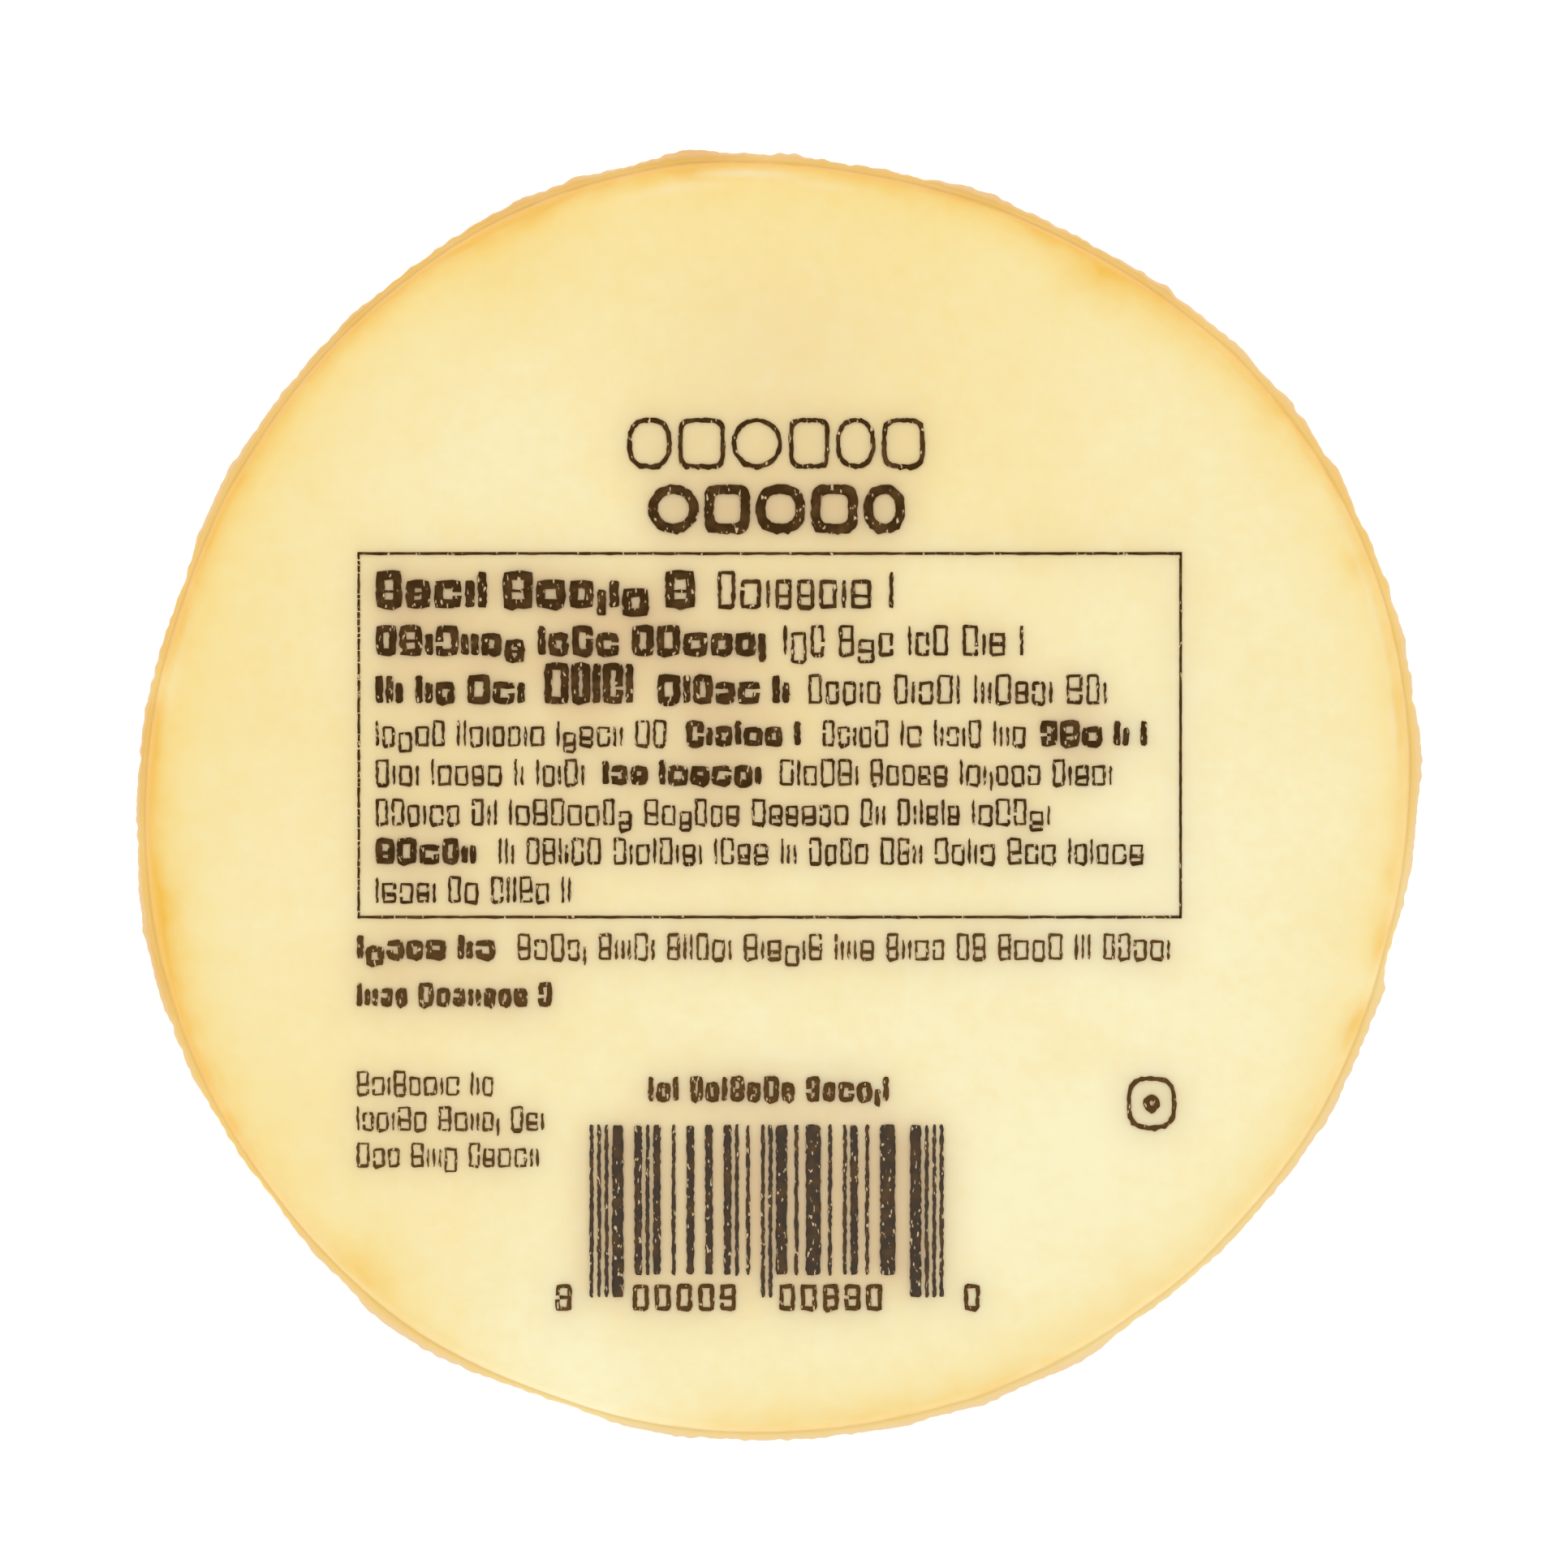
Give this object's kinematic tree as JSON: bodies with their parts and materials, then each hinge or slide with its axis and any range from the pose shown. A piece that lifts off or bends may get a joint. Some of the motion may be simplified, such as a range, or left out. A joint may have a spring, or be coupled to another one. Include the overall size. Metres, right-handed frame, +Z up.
{
  "type": "smoked gouda round",
  "caption": "Small whole wheel of smoked gouda sealed in tight clear film, lying flat with its plain-printed back face up.",
  "frame": {"origin": "middle of the outer box at the base, on the surface the round lies on", "axes": "+Z up out of the printed face; +Y towards the top of the printed rows; +X to their right"},
  "size_m": [0.102, 0.1024, 0.0261],
  "materials": {
    "cheese": "pale butter-yellow pressed cheese with an amber smoked rim, satin under tight film",
    "film": "clear shrunk vacuum film, glossy, with a thin trimmed seam",
    "ink": "dark brown printing ink with rough, slightly broken edges"
  },
  "bodies": {
    "root": {"wrapped_round": "cheese"}
  },
  "joints": []
}
